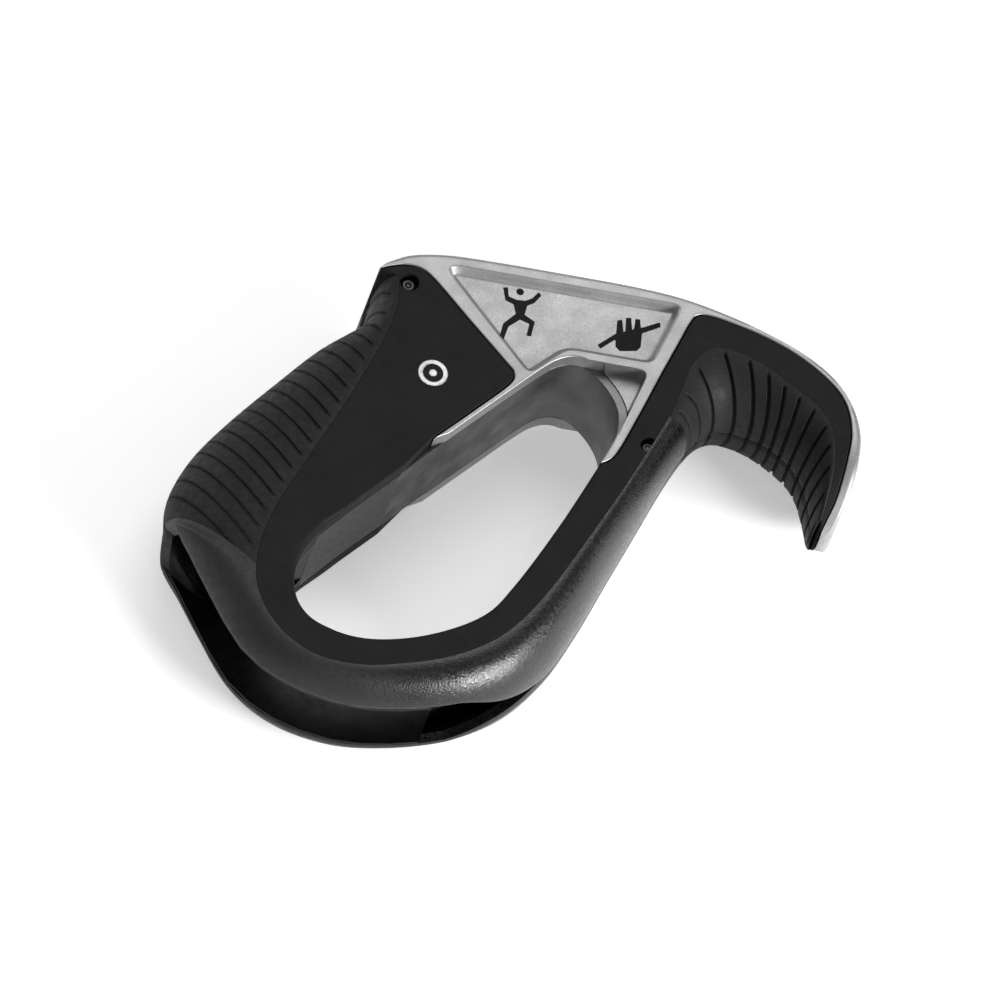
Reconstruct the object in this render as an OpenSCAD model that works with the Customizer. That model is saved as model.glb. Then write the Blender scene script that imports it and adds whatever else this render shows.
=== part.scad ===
// Belay device of the channel type, with a thumb hook at one end of its spine.
// Two halves, front and back, meet on a middle plane parallel to XY.
// Plan shapes are curves through points in millimetres, in a sheet where the
// spine runs along +X. Front pieces are drawn above the middle plane (z = 0
// there) and back pieces are their mirror images.

/* [Overall] */
// Length along the spine, from the lower grip to the outside of the hook
length = 113; // [94:1:136]
// Thickness over the two flat faces
body_t = 23; // [19:0.5:28]

/* [Rope channel] */
// Clear width of the rope slot between the two channel liners
slot_w = 10.8; // [9:0.2:13]
// Thickness of each channel liner
liner_t = 0.6; // [0.5:0.1:1.2]
// How far the liners stay back from the rim of the mouth
liner_back = 0.3; // [0.1:0.1:1]
// How far the sunken panel and the channel strips lie under the flat faces
face_drop = 2.8; // [2:0.1:3.4]
// Thickness of the steel wear plate that lines the top of the loop
plate_t = 1.6; // [1:0.1:2.4]
// Thickness of the smooth rope guide that carries on from the wear plate
guide_t = 2.2; // [1.4:0.1:3]

/* [Frame] */
// Depth of the large pocket in each flat face
pocket_depth = 1.4; // [0.8:0.1:2.2]
// Thickness of the web under the large pocket
web_t = 2.4; // [1.6:0.1:3]
// Thickness of the frame tongues that lie inside the shells
tongue_t = 3; // [2:0.1:4]
// Gap at the visible seam between shell and frame
seam_gap = 0.25; // [0.1:0.05:0.5]

/* [Rounded covers] */
// Wall of the soft finger grip
finger_wall = 2.4; // [1.6:0.1:3]
// Wall of the hard cover round the ring and the arm
cover_wall = 2; // [1.2:0.1:2.4]
// Wall of the soft layer inside the thumb hook
thumb_wall = 2; // [1.2:0.1:2.4]

/* [Rivets] */
// Diameter of the rivet at the top corner
top_rivet_d = 2.4; // [1.6:0.1:3]
// Diameter of the rivet in the arm
arm_rivet_d = 2; // [1.4:0.1:2.6]
// Diameter of the counterbore over the top rivet
top_bore_d = 3.3; // [3.2:0.1:4.4]
// Diameter of the counterbore over the arm rivet
arm_bore_d = 2.9; // [2.8:0.1:3.6]
// Depth of the counterbores
bore_depth = 1.6; // [1:0.1:2.4]
// Wall of the spacer bush round each rivet
bush_wall = 0.8; // [0.5:0.1:1.2]
// Diameter of the locating pins between the two frame halves
pin_d = 1.6; // [1.2:0.1:1.8]

/* [Markings] */
// Depth of the filled markings
mark_depth = 0.5; // [0.3:0.1:0.8]
// Outer diameter of the round mark on the grip
mark_d = 5; // [3:0.5:7]
// Line width of the round mark
mark_line = 0.8; // [0.5:0.1:1.2]

/* [Clearance] */
// Clearance round a piece that is seated in another
fit = 0.05; // [0.02:0.01:0.1]

/* [Hidden] */

H = body_t / 2;              // height of a flat face over the middle plane
PLATE_H = H - face_drop;     // half width of wear plate and rope guide
SLOT_H = slot_w / 2;         // half width of the rope slot
CHEEK_H = SLOT_H + liner_t;  // height at which the cheeks stand behind the liners
POCKET_H = H - pocket_depth; // height of the pocket floor
DRAWN_LENGTH = 113;          // length at which the curves below are drawn
K = length / DRAWN_LENGTH;   // plan scale of every outline
STEPS = 3;                   // curve points between two control points
FLANK_STEPS = 2;             // the same along the flank
BEVEL_STEPS = 6;             // facets across the rounded flank
PIN_H = 5;                   // half length of a locating pin
SIDE = 1;                    // how far a cut runs past an open edge
SLOT_OPEN = 0.98;            // share of its full height from which the slot counts as open
PLATE_OPEN = 4;              // curve points of the wear plate that stand clear of the frame
HEAD_RISE = 0.6;             // how far a rivet stands up inside its counterbore
TONGUE_LOW = 0.4;            // height of a tongue's underside over the middle plane
WALL_SHARE = 0.4;            // most of a flank's width or height that a wall takes up
DOT_SHARE = 0.28;            // diameter of the dot in the round mark, as a share of the mark

// Flank of the black body, from the top corner round the grip, the mouth and
// the arm to the tip of the hook: edge of the plateau (x, y), rim (x, y), and
// 1 where the rope slot lies open under it.
FLANK = [
    [-13.2, 30.4, -16.0, 31.0, 0], [-12.8, 26.0, -16.6, 26.9, 0],
    [-13.9, 20.4, -17.7, 24.2, 0], [-17.3, 11.0, -24.2, 19.0, 0],
    [-21.8, 0.6, -30.8, 11.5, 0], [-26.4, -9.4, -37.8, 2.9, 0],
    [-29.7, -17.0, -43.0, -4.7, 0], [-31.6, -23.5, -46.0, -12.0, 0],
    [-32.0, -28.6, -46.2, -17.5, 0], [-31.8, -31.4, -45.3, -21.1, 1],
    [-30.9, -34.2, -42.7, -25.5, 1], [-29.0, -37.6, -38.9, -32.1, 1],
    [-25.6, -41.0, -32.7, -41.5, 1], [-20.4, -43.6, -24.8, -46.9, 1],
    [-13.5, -44.0, -14.7, -49.2, 1], [-6.0, -42.3, -5.0, -48.2, 1],
    [1.5, -39.5, 4.4, -45.2, 1], [8.0, -35.3, 12.6, -40.8, 0.4],
    [13.0, -29.7, 18.8, -33.8, 0], [17.5, -22.2, 23.4, -24.4, 0],
    [22.2, -12.8, 27.6, -13.8, 0], [26.8, -3.2, 31.7, -3.5, 0],
    [30.8, 5.8, 35.5, 6.1, 0], [33.6, 12.5, 38.3, 12.2, 0],
    [35.2, 18.0, 40.5, 15.7, 0], [36.8, 23.5, 42.4, 17.2, 0],
    [39.8, 27.0, 44.7, 17.9, 0], [44.0, 27.2, 47.5, 17.7, 0],
    [49.0, 25.3, 50.7, 16.9, 0], [54.5, 22.0, 53.8, 15.3, 0],
    [58.8, 18.9, 56.4, 13.0, 0], [61.0, 15.4, 58.0, 10.6, 0],
    [61.8, 11.5, 59.0, 8.0, 0], [61.9, 7.6, 59.8, 5.2, 0],
    [61.6, 4.2, 60.2, 3.0, 0], [61.4, 2.0, 60.6, 1.4, 0]
];
// Stations of FLANK where the covers end, in order along it.
FINGER_FROM = 0;
FINGER_TO = 8;
THUMB_FROM = 23;
THUMB_TO = 35;

// Edge of the loop, counter-clockwise from the start of the wear plate at the
// lower left, over the arch, down the arm and round the bottom.
LOOP_PLATE = [[-9.4, -5.4], [-4.6, 0.0], [5.0, 10.3], [11.6, 17.3], [14.6, 19.9],
              [17.4, 20.9], [20.3, 20.1], [23.6, 17.0], [25.6, 13.0], [25.4, 8.0],
              [22.8, 1.2]];
LOOP_ARM = [[22.8, 1.2], [17.3, -11.2], [10.9, -23.8], [6.0, -30.8], [-2.7, -36.1],
            [-12.0, -38.7], [-19.3, -37.9], [-24.0, -34.2], [-25.4, -29.2],
            [-24.4, -24.2], [-22.0, -19.6]];
LOOP_GUIDE = [[-22.0, -19.6], [-16.0, -12.6], [-9.4, -5.4]];
// Lower run of the rope guide, from the loop towards the mouth.
GUIDE_EXIT = [[-22.0, -19.6], [-26.2, -23.0], [-30.6, -24.4]];

// Seams between shell and frame, on the grip side and on the hook side.
SEAM_GRIP = [[-16.0, 31.5], [-14.6, 32.2], [-12.2, 32.9], [-9.6, 32.7], [-7.0, 30.9],
             [-0.9, 24.6], [5.8, 17.8], [7.4, 15.9], [6.9, 13.6], [1.9, 8.0],
             [-4.8, 0.9]];
SEAM_HOOK = [[23.0, 1.6], [25.4, 3.9], [28.6, 12.0], [31.3, 19.5], [34.1, 27.0],
             [35.6, 31.0], [36.8, 32.8], [39.2, 33.1], [43.8, 32.2], [49.0, 30.7],
             [54.2, 28.4], [58.6, 25.5], [61.8, 22.4], [63.5, 19.0], [64.2, 15.0],
             [64.0, 11.2], [63.6, 7.6], [63.1, 4.4], [62.4, 2.2], [61.9, 0.9]];
// Outside of the frame, from the top corner along the spine to the hook tip.
SPINE = [[-16.4, 31.4], [-14.8, 33.1], [-11.4, 35.1], [-5.4, 36.3], [3.0, 36.6],
         [14.0, 36.6], [25.0, 36.5], [33.6, 35.9], [41.4, 34.3], [49.0, 31.9],
         [55.6, 29.0], [60.6, 25.5], [64.0, 21.0], [65.7, 16.0], [65.9, 11.0],
         [65.3, 6.4], [64.2, 3.0], [63.1, 1.1], [61.9, 0.3]];
// Sunken faces of the frame: the large pocket and the panel beside the arch.
// Each row is a corner and its radius.
POCKET = [[-6.6, 34.5, 1.8], [9.8, 15.9, 1.8], [15.9, 22.0, 4], [30.2, 22.0, 2.4],
          [34.6, 34.3, 1.6]];
PANEL = [[16.4, 20.8, 0.1], [29.8, 20.7, 1.6], [25.6, 7.6, 0.1], [20.0, 7.0, 0.1]];

// Rounded tip of the hook: past this x the flat faces fall away below this y.
TIP_X = 56;
TIP_FROM = 16;
TIP_LENGTH = 15.6;

TOP_RIVET = [-11.3, 29.6];
ARM_RIVET = [30.7, 6.6];
PINS = [[0.5, 35.4], [14, 35.5], [29, 35.3]];
MARK_AT = [-6.0, 13.2];
CLIMBER_AT = [6.8, 27.5];
HAND_AT = [26.0, 27.9];

// --- curve functions ------------------------------------------------------

// Point at t between p[i] and p[i + 1] on a curve through every point of p.
function between(p, i, t) =
    let (n = len(p) - 1, a = p[max(i - 1, 0)], b = p[i], c = p[min(i + 1, n)],
         d = p[min(i + 2, n)])
    0.5 * (2 * b + (c - a) * t + (2 * a - 5 * b + 4 * c - d) * t * t
           + (3 * b - 3 * c + d - a) * t * t * t);

// Smooth curve through p, with as many points as steps for each stretch.
function curve(p, steps = STEPS) =
    [for (i = [0:len(p) - 2], s = [0:steps - 1]) between(p, i, s / steps),
     p[len(p) - 1]];

function plan(p) = [for (q = p) K * [q[0], q[1]]];
function back_to_front(p) = [for (i = [len(p) - 1:-1:0]) p[i]];
function unit(v) = v / norm(v);

// Curve p moved sideways by d, to the left of its direction.
function beside(p, d) =
    let (n = len(p) - 1)
    [for (i = [0:n])
        let (v = unit(p[min(i + 1, n)] - p[max(i - 1, 0)]))
        p[i] + d * [-v[1], v[0]]];

// Band between the curve p and its copy moved sideways by d.
function ribbon(p, d) = concat(p, back_to_front(beside(p, d)));

// Curve p carried on straight by d at both of its ends.
function longer(p, d) =
    let (n = len(p) - 1)
    concat([p[0] - d * unit(p[1] - p[0])], p, [p[n] + d * unit(p[n] - p[n - 1])]);

// Closed outline through the corners c = [x, y, radius], each one rounded.
function rounded(c) =
    let (n = len(c))
    [for (i = [0:n - 1])
        let (p = [c[i][0], c[i][1]], a = unit(xy(c[(i + n - 1) % n]) - p),
             b = unit(xy(c[(i + 1) % n]) - p), half = acos(a * b) / 2,
             cut = c[i][2] / tan(half), p0 = p + cut * a, p1 = p + cut * b)
        for (s = [0:4])
            let (t = s / 4) (1 - t) * (1 - t) * p0 + 2 * t * (1 - t) * p + t * t * p1];
function xy(v) = [v[0], v[1]];

// Height of the flat face over the middle plane at x, y: it falls at the tip.
function face_h(x, y) =
    let (s = x < TIP_X ? 0 : min(max((TIP_FROM - y) / TIP_LENGTH, 0), 0.999))
    H * sqrt(1 - s * s);

plate_edge = curve(plan(LOOP_PLATE));
arm_edge = curve(plan(LOOP_ARM));
guide_edge = curve(plan(LOOP_GUIDE));
exit_edge = curve(plan(GUIDE_EXIT));
grip_seam = curve(plan(SEAM_GRIP));
hook_seam = curve(plan(SEAM_HOOK));
spine_edge = curve(plan(SPINE));
flank = curve(FLANK, FLANK_STEPS);
crease = [for (f = flank) K * [f[0], f[1]]];
rim = [for (f = flank) K * [f[2], f[3]]];

// Plan box of the whole device, which sets the origin under its middle.
all_x = [for (p = concat(rim, spine_edge)) p[0]];
all_y = [for (p = concat(rim, spine_edge)) p[1]];
MIDDLE = [(min(all_x) + max(all_x)) / 2, (min(all_y) + max(all_y)) / 2];

// --- placing --------------------------------------------------------------

module front() translate([-MIDDLE[0], -MIDDLE[1], H]) children();
module back() translate([-MIDDLE[0], -MIDDLE[1], H]) mirror([0, 0, 1]) children();

// Prism of an outline from height z0 to z1 over the middle plane.
module slab(outline, z0, z1) translate([0, 0, z0]) linear_extrude(z1 - z0) polygon(outline);

// --- shared solids --------------------------------------------------------

// What is cut away over the falling end of the hook tip.
module over_tip() {
    ys = [for (i = [0:12]) TIP_FROM - TIP_LENGTH * sin(i * 90 / 12)];
    side = concat([for (y = ys) [K * y, face_h(TIP_X, y)]],
                  [[K * (TIP_FROM - TIP_LENGTH), -1], [K * -4, -1], [K * -4, H + 2],
                   [K * TIP_FROM, H + 2]]);
    translate([K * TIP_X, 0, 0]) rotate([90, 0, 90]) linear_extrude(K * 12) polygon(side);
}

// Height of the rim over the middle plane at station f.
function rim_h(f) = CHEEK_H * min(max(f[4], 0), 1);

// Ring of points round a wall of thickness t that follows the rounded flank at
// station f: out along the inside, back along the outside.
function cover_ring(f, t) =
    let (c = K * [f[0], f[1]], r = K * [f[2], f[3]], w = norm(r - c), out = (r - c) / w,
         foot = rim_h(f) + fit, rise = face_h(f[0], f[1]) - foot,
         wall = min(t, WALL_SHARE * w, WALL_SHARE * rise))
    concat([for (i = [0:BEVEL_STEPS])
               let (a = 90 * i / BEVEL_STEPS)
               [each c + (fit + (w - fit - wall) * sin(a)) * out, foot + (rise - wall) * cos(a)]],
           [for (i = [BEVEL_STEPS:-1:0])
               let (a = 90 * i / BEVEL_STEPS)
               [each c + (fit + (w - fit) * sin(a)) * out, foot + rise * cos(a)]]);

// Rounded cover of thickness t between two stations of the flank.
module cover_half(from, to, t) skin_rings([
    for (i = [from * FLANK_STEPS:to * FLANK_STEPS]) cover_ring(flank[i], t)]);

// Solid through rings of equal length, one over the other.
module skin_rings(rings) {
    n = len(rings[0]);
    m = len(rings);
    polyhedron(
        points = [for (r = rings) each r],
        faces = concat(
            [[for (i = [n - 1:-1:0]) i]],
            [for (j = [0:m - 2], i = [0:n - 1], k = [0:1])
                let (a = j * n + i, b = j * n + (i + 1) % n)
                k == 0 ? [a, b + n, a + n] : [a, b, b + n]],
            [[for (i = [0:n - 1]) (m - 1) * n + i]]),
        convexity = 8);
}

// Plan of everything open between the two cheeks of the rope channel.
channel_plan = concat(
    exit_edge,
    [K * [-60, -12], K * [-60, -62], K * [24, -62]],
    plan([[12.4, -41.2], [8.6, -36.0], [6.8, -30.0], [4.0, -20.0], [-12.0, -12.0]]));

// --- frame ----------------------------------------------------------------

frame_plan = concat(spine_edge, back_to_front(hook_seam),
                    back_to_front([for (i = [PLATE_OPEN:len(plate_edge) - 1]) plate_edge[i]]),
                    back_to_front(grip_seam));

// Tongues of the frame that reach under the shells, grown by g for their seats.
module tongues(g = 0) {
    z0 = TONGUE_LOW - g;
    z1 = TONGUE_LOW + tongue_t + g;
    slab(plan([TOP_RIVET, [-9.0, 26.0], [2.0, 16.0], [6.0, 17.0], [-4.0, 29.5],
               [-8.6, 33.2]]), z0, z1);
    slab(plan([[24.6, 3.0], [28.8, 3.2], ARM_RIVET, [33.0, 10.0], [33.4, 20.0],
               [33.2, 26.5], [28.0, 12.0]]), z0, z1);
}

module frame_half() {
    difference() {
        union() {
            slab(frame_plan, fit, H);
            tongues();
        }
        over_tip();
        slab(rounded(POCKET) * K, POCKET_H, H + 1);
        slab(rounded(POCKET) * K, -1, POCKET_H - web_t);
        slab(rounded(PANEL) * K, PLATE_H, H + 1);
        seat(plate_edge, plate_t, PLATE_H);
        rivet_hole(TOP_RIVET, top_rivet_d + 2 * bush_wall, H + 1);
        rivet_hole(ARM_RIVET, arm_rivet_d + 2 * bush_wall, H + 1);
        for (p = PINS) translate([each K * p, -1])
            cylinder(d = pin_d + 2 * fit, h = 1 + PIN_H + fit, $fn = 32);
    }
}

// Hole for a rivet or bush of diameter d, from below the middle plane up to top.
module rivet_hole(at, d, top) translate([each K * at, -1])
    cylinder(d = d + 2 * fit, h = top + 1, $fn = 40);

module frame_front() color("silver") front()
    difference() {
        frame_half();
        translate([each K * CLIMBER_AT, POCKET_H - mark_depth]) climber_shape();
        translate([each K * HAND_AT, POCKET_H - mark_depth]) hand_shape();
    }
module frame_back() color("silver") back() frame_half();

// --- channel --------------------------------------------------------------

module wear_plate() color("dimgray") front()
    translate([0, 0, -PLATE_H + fit]) linear_extrude(2 * (PLATE_H - fit))
        polygon(ribbon(plate_edge, plate_t));

module rope_guide() color([0.05, 0.05, 0.05]) front() difference() {
    union() {
        slab(ribbon(guide_edge, guide_t), -PLATE_H + fit, PLATE_H - fit);
        slab(ribbon(back_to_front(exit_edge), guide_t), -CHEEK_H + fit, CHEEK_H - fit);
    }
    slab(ribbon(beside(longer(plate_edge, fit), -SIDE), SIDE + plate_t + guide_t), -H, H);
}

// Least share of its full height that the slot has at point i and beside it.
function least_open(i) =
    min([for (j = [max(i - 1, 0):min(i + 1, len(flank) - 1)]) flank[j][4]]);

// Limit of the liners: near the rim where the slot is open, else at the plateau.
open_rim = beside(rim, liner_back);
liner_limit = [for (i = [0:len(flank) - 1])
    least_open(i) < SLOT_OPEN ? crease[i] : open_rim[i]];

module liner_half()
    intersection() {
        slab(channel_plan, SLOT_H, CHEEK_H - fit);
        difference() {
            slab(concat(liner_limit, [K * [45, 60], K * [-60, 60]]), 0, H);
            slab(concat(plate_edge, arm_edge, guide_edge), -1, H + 1);
        }
    }
module channel_liner_front() color([0.03, 0.03, 0.03]) front() liner_half();
module channel_liner_back() color([0.03, 0.03, 0.03]) back() liner_half();

// --- shells ---------------------------------------------------------------

shell_plan = concat(crease, back_to_front(beside(hook_seam, -seam_gap)), arm_edge,
                    guide_edge, back_to_front(beside(grip_seam, -seam_gap)));

module shell_half() {
    difference() {
        slab(shell_plan, fit, H);
        over_tip();
        slab(channel_plan, -1, CHEEK_H);
        seat(guide_edge, guide_t, PLATE_H);
        seat(plate_edge, plate_t, PLATE_H);
        seat(back_to_front(exit_edge), guide_t, CHEEK_H);
        tongues(fit);
        rivet_hole(TOP_RIVET, top_rivet_d + 2 * bush_wall, 2 * tongue_t);
        rivet_hole(ARM_RIVET, arm_rivet_d + 2 * bush_wall, 2 * tongue_t);
        rivet_hole(TOP_RIVET, top_rivet_d, H);
        rivet_hole(ARM_RIVET, arm_rivet_d, H);
        counterbore(TOP_RIVET, top_bore_d);
        counterbore(ARM_RIVET, arm_bore_d);
    }
}

// Room for a strip of thickness t behind an open edge, up to height top, with the
// clearance behind the strip and past both of its ends.
module seat(edge, t, top)
    slab(ribbon(beside(longer(edge, fit), -SIDE), SIDE + t + fit), -1, top);

module counterbore(at, d) translate([each K * at, H - bore_depth])
    cylinder(d = d, h = bore_depth + 1, $fn = 48);

module shell_front() color([0.2, 0.2, 0.2]) front()
    difference() {
        shell_half();
        translate([each K * MARK_AT, H - mark_depth]) mark_shape(fit);
    }
module shell_back() color([0.2, 0.2, 0.2]) back() shell_half();

// --- rounded covers -------------------------------------------------------

module ring_cover_half() {
    difference() {
        cover_half(FINGER_TO, THUMB_FROM, cover_wall);
        counterbore(ARM_RIVET, arm_bore_d);
        rivet_hole(ARM_RIVET, arm_rivet_d, H);
    }
}

module ring_cover_front() color([0.1, 0.1, 0.1]) front() ring_cover_half();
module ring_cover_back() color([0.1, 0.1, 0.1]) back() ring_cover_half();
module finger_grip_front() color([0.15, 0.15, 0.15]) front()
    cover_half(FINGER_FROM, FINGER_TO, finger_wall);
module finger_grip_back() color([0.15, 0.15, 0.15]) back()
    cover_half(FINGER_FROM, FINGER_TO, finger_wall);
module thumb_grip_front() color([0.13, 0.13, 0.13]) front()
    cover_half(THUMB_FROM, THUMB_TO, thumb_wall);
module thumb_grip_back() color([0.13, 0.13, 0.13]) back()
    cover_half(THUMB_FROM, THUMB_TO, thumb_wall);

// --- rivets, bushes and pins ----------------------------------------------

RIVET_H = H - bore_depth + HEAD_RISE;    // half length of a rivet

module rivet(at, d) color("gray") front() translate([each K * at, -RIVET_H])
    cylinder(d = d, h = 2 * RIVET_H, $fn = 40);
module top_rivet() rivet(TOP_RIVET, top_rivet_d);
module arm_rivet() rivet(ARM_RIVET, arm_rivet_d);

module bush(at, d) color("lightgray") front() translate([each K * at, -2 * tongue_t + fit])
    difference() {
        cylinder(d = d + 2 * bush_wall, h = 4 * tongue_t - 2 * fit, $fn = 48);
        translate([0, 0, -1]) cylinder(d = d + 2 * fit, h = 4 * tongue_t + 2, $fn = 40);
    }
module top_bush() bush(TOP_RIVET, top_rivet_d);
module arm_bush() bush(ARM_RIVET, arm_rivet_d);

module locating_pins() color("lightgray") front()
    for (p = PINS) translate([each K * p, -PIN_H]) cylinder(d = pin_d, h = 2 * PIN_H, $fn = 32);

// --- markings -------------------------------------------------------------

// Outline of a figure that climbs, without its head, and the middle of the head.
CLIMBER = [[-2.4, 5.0], [-1.6, 5.2], [-1.3, 3.5], [0.0, 3.1], [1.5, 3.2], [2.6, 3.9],
           [3.6, 5.3], [4.1, 4.7], [3.0, 3.0], [1.9, 2.3], [1.6, 0.5], [3.4, -0.5],
           [3.0, -3.4], [2.2, -3.4], [2.5, -1.1], [0.9, -0.6], [-0.9, -2.3], [-1.5, -5.0],
           [-2.3, -4.8], [-1.8, -1.8], [0.1, 0.4], [-0.4, 2.1], [-1.8, 2.6]];
HEAD_AT = [0.5, 4.7];
HEAD_D = 1.3;

// Outline of a hand that holds a rope: three fingers over the rope, palm below.
HAND = [[-5.1, -3.2], [-4.6, -3.9], [-2.2, -1.6], [-2.1, -3.0], [-1.3, -3.7], [1.5, -3.1],
        [2.1, -2.2], [2.1, 0.4], [5.1, 2.2], [4.9, 3.1], [1.8, 1.4], [1.6, 3.0], [0.8, 3.0],
        [0.7, 1.0], [0.4, 0.8], [0.1, 3.0], [-0.8, 2.9], [-0.7, 0.3], [-1.0, 0.1],
        [-1.4, 2.4], [-2.2, 2.1], [-2.2, -0.4]];

module climber_shape() linear_extrude(mark_depth + 1) {
    translate(K * HEAD_AT) circle(d = K * HEAD_D, $fn = 32);
    polygon(K * CLIMBER);
}
module hand_shape() linear_extrude(mark_depth + 1) polygon(K * HAND);

// A plain ring round a dot.
module mark_shape(g) linear_extrude(mark_depth + 1) {
    difference() {
        circle(d = mark_d + 2 * g, $fn = 64);
        circle(d = mark_d - 2 * mark_line - 2 * g, $fn = 64);
    }
    circle(d = DOT_SHARE * mark_d + 2 * g, $fn = 32);
}

// The fill of a marking: its shape cut off level with the face it lies in.
module fill(at, top) front() translate([each K * at, top - mark_depth])
    intersection() {
        children();
        translate([-10, -10, 0]) cube([20, 20, mark_depth]);
    }
module climber_icon() color([0.15, 0.15, 0.15]) fill(CLIMBER_AT, POCKET_H) climber_shape();
module brake_hand_icon() color([0.15, 0.15, 0.15]) fill(HAND_AT, POCKET_H) hand_shape();
module grip_mark() color("white") fill(MARK_AT, H) mark_shape(0);

frame_front();
frame_back();
wear_plate();
rope_guide();
channel_liner_front();
channel_liner_back();
shell_front();
shell_back();
ring_cover_front();
ring_cover_back();
finger_grip_front();
finger_grip_back();
thumb_grip_front();
thumb_grip_back();
top_rivet();
arm_rivet();
top_bush();
arm_bush();
locating_pins();
climber_icon();
brake_hand_icon();
grip_mark();
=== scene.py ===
"""Belay device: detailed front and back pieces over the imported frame."""
import math

import bmesh
import bpy
import numpy as np
from mathutils import Matrix, Vector
from mathutils.geometry import delaunay_2d_cdt


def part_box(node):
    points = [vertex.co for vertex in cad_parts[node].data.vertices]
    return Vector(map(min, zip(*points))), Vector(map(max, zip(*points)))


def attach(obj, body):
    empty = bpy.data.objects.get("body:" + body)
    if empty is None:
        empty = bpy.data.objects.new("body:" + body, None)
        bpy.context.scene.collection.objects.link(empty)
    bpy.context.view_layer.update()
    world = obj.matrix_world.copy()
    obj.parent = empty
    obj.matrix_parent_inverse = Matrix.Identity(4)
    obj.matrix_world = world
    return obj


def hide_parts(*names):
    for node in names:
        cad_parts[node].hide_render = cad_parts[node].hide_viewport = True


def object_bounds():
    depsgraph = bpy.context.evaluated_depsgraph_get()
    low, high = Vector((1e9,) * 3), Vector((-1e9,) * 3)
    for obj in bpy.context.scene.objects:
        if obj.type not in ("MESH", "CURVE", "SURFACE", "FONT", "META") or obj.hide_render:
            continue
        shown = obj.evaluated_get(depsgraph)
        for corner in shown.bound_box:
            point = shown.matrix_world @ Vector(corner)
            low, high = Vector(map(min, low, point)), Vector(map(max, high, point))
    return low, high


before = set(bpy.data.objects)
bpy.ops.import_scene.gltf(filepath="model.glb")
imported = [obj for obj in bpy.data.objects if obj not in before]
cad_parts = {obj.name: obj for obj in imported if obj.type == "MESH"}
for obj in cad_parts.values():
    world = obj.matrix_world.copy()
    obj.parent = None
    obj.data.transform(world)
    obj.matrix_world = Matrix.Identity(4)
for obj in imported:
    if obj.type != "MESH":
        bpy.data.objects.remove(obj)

CAD_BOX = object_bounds()
MM = 0.001

# --- curves of the design, in millimetres: the spine runs along +X -----------

# Flank: edge of the plateau (x, y), rim (x, y), 1 where the rope slot is open.
FLANK = [
    (-13.2, 30.4, -16.0, 31.0, 0), (-12.8, 26.0, -16.6, 26.9, 0),
    (-13.9, 20.4, -17.7, 24.2, 0), (-17.3, 11.0, -24.2, 19.0, 0),
    (-21.8, 0.6, -30.8, 11.5, 0), (-26.4, -9.4, -37.8, 2.9, 0),
    (-29.7, -17.0, -43.0, -4.7, 0), (-31.6, -23.5, -46.0, -12.0, 0),
    (-32.0, -28.6, -46.2, -17.5, 0), (-31.8, -31.4, -45.3, -21.1, 1),
    (-30.9, -34.2, -42.7, -25.5, 1), (-29.0, -37.6, -38.9, -32.1, 1),
    (-25.6, -41.0, -32.7, -41.5, 1), (-20.4, -43.6, -24.8, -46.9, 1),
    (-13.5, -44.0, -14.7, -49.2, 1), (-6.0, -42.3, -5.0, -48.2, 1),
    (1.5, -39.5, 4.4, -45.2, 1), (8.0, -35.3, 12.6, -40.8, 0.4),
    (13.0, -29.7, 18.8, -33.8, 0), (17.5, -22.2, 23.4, -24.4, 0),
    (22.2, -12.8, 27.6, -13.8, 0), (26.8, -3.2, 31.7, -3.5, 0),
    (30.8, 5.8, 35.5, 6.1, 0), (33.6, 12.5, 38.3, 12.2, 0),
    (35.2, 18.0, 40.5, 15.7, 0), (36.8, 23.5, 42.4, 17.2, 0),
    (39.8, 27.0, 44.7, 17.9, 0), (44.0, 27.2, 47.5, 17.7, 0),
    (49.0, 25.3, 50.7, 16.9, 0), (54.5, 22.0, 53.8, 15.3, 0),
    (58.8, 18.9, 56.4, 13.0, 0), (61.0, 15.4, 58.0, 10.6, 0),
    (61.8, 11.5, 59.0, 8.0, 0), (61.9, 7.6, 59.8, 5.2, 0),
    (61.6, 4.2, 60.2, 3.0, 0), (61.4, 2.0, 60.6, 1.4, 0),
]
FINGER = (0, 8)      # stations of the soft grip under the fingers
RING = (8, 23)       # stations of the hard cover round the ring and the arm
THUMB = (23, 35)     # stations of the soft layer inside the hook
MOUTH = (8, 18)      # stations between which the rope slot lies open

LOOP_PLATE = [(-9.4, -5.4), (-4.6, 0.0), (5.0, 10.3), (11.6, 17.3), (14.6, 19.9),
              (17.4, 20.9), (20.3, 20.1), (23.6, 17.0), (25.6, 13.0), (25.4, 8.0),
              (22.8, 1.2)]
LOOP_ARM = [(22.8, 1.2), (17.3, -11.2), (10.9, -23.8), (6.0, -30.8), (-2.7, -36.1),
            (-12.0, -38.7), (-19.3, -37.9), (-24.0, -34.2), (-25.4, -29.2),
            (-24.4, -24.2), (-22.0, -19.6)]
LOOP_GUIDE = [(-22.0, -19.6), (-16.0, -12.6), (-9.4, -5.4)]
GUIDE_EXIT = [(-22.0, -19.6), (-26.2, -23.0), (-30.6, -24.4)]
SEAM_GRIP = [(-16.0, 31.5), (-14.6, 32.2), (-12.2, 32.9), (-9.6, 32.7), (-7.0, 30.9),
             (-0.9, 24.6), (5.8, 17.8), (7.4, 15.9), (6.9, 13.6), (1.9, 8.0),
             (-4.8, 0.9)]
SEAM_HOOK = [(23.0, 1.6), (25.4, 3.9), (28.6, 12.0), (31.3, 19.5), (34.1, 27.0),
             (35.6, 31.0), (36.8, 32.8), (39.2, 33.1), (43.8, 32.2), (49.0, 30.7),
             (54.2, 28.4), (58.6, 25.5), (61.8, 22.4), (63.5, 19.0), (64.2, 15.0),
             (64.0, 11.2), (63.6, 7.6), (63.1, 4.4), (62.4, 2.2), (61.9, 0.9)]
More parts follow.
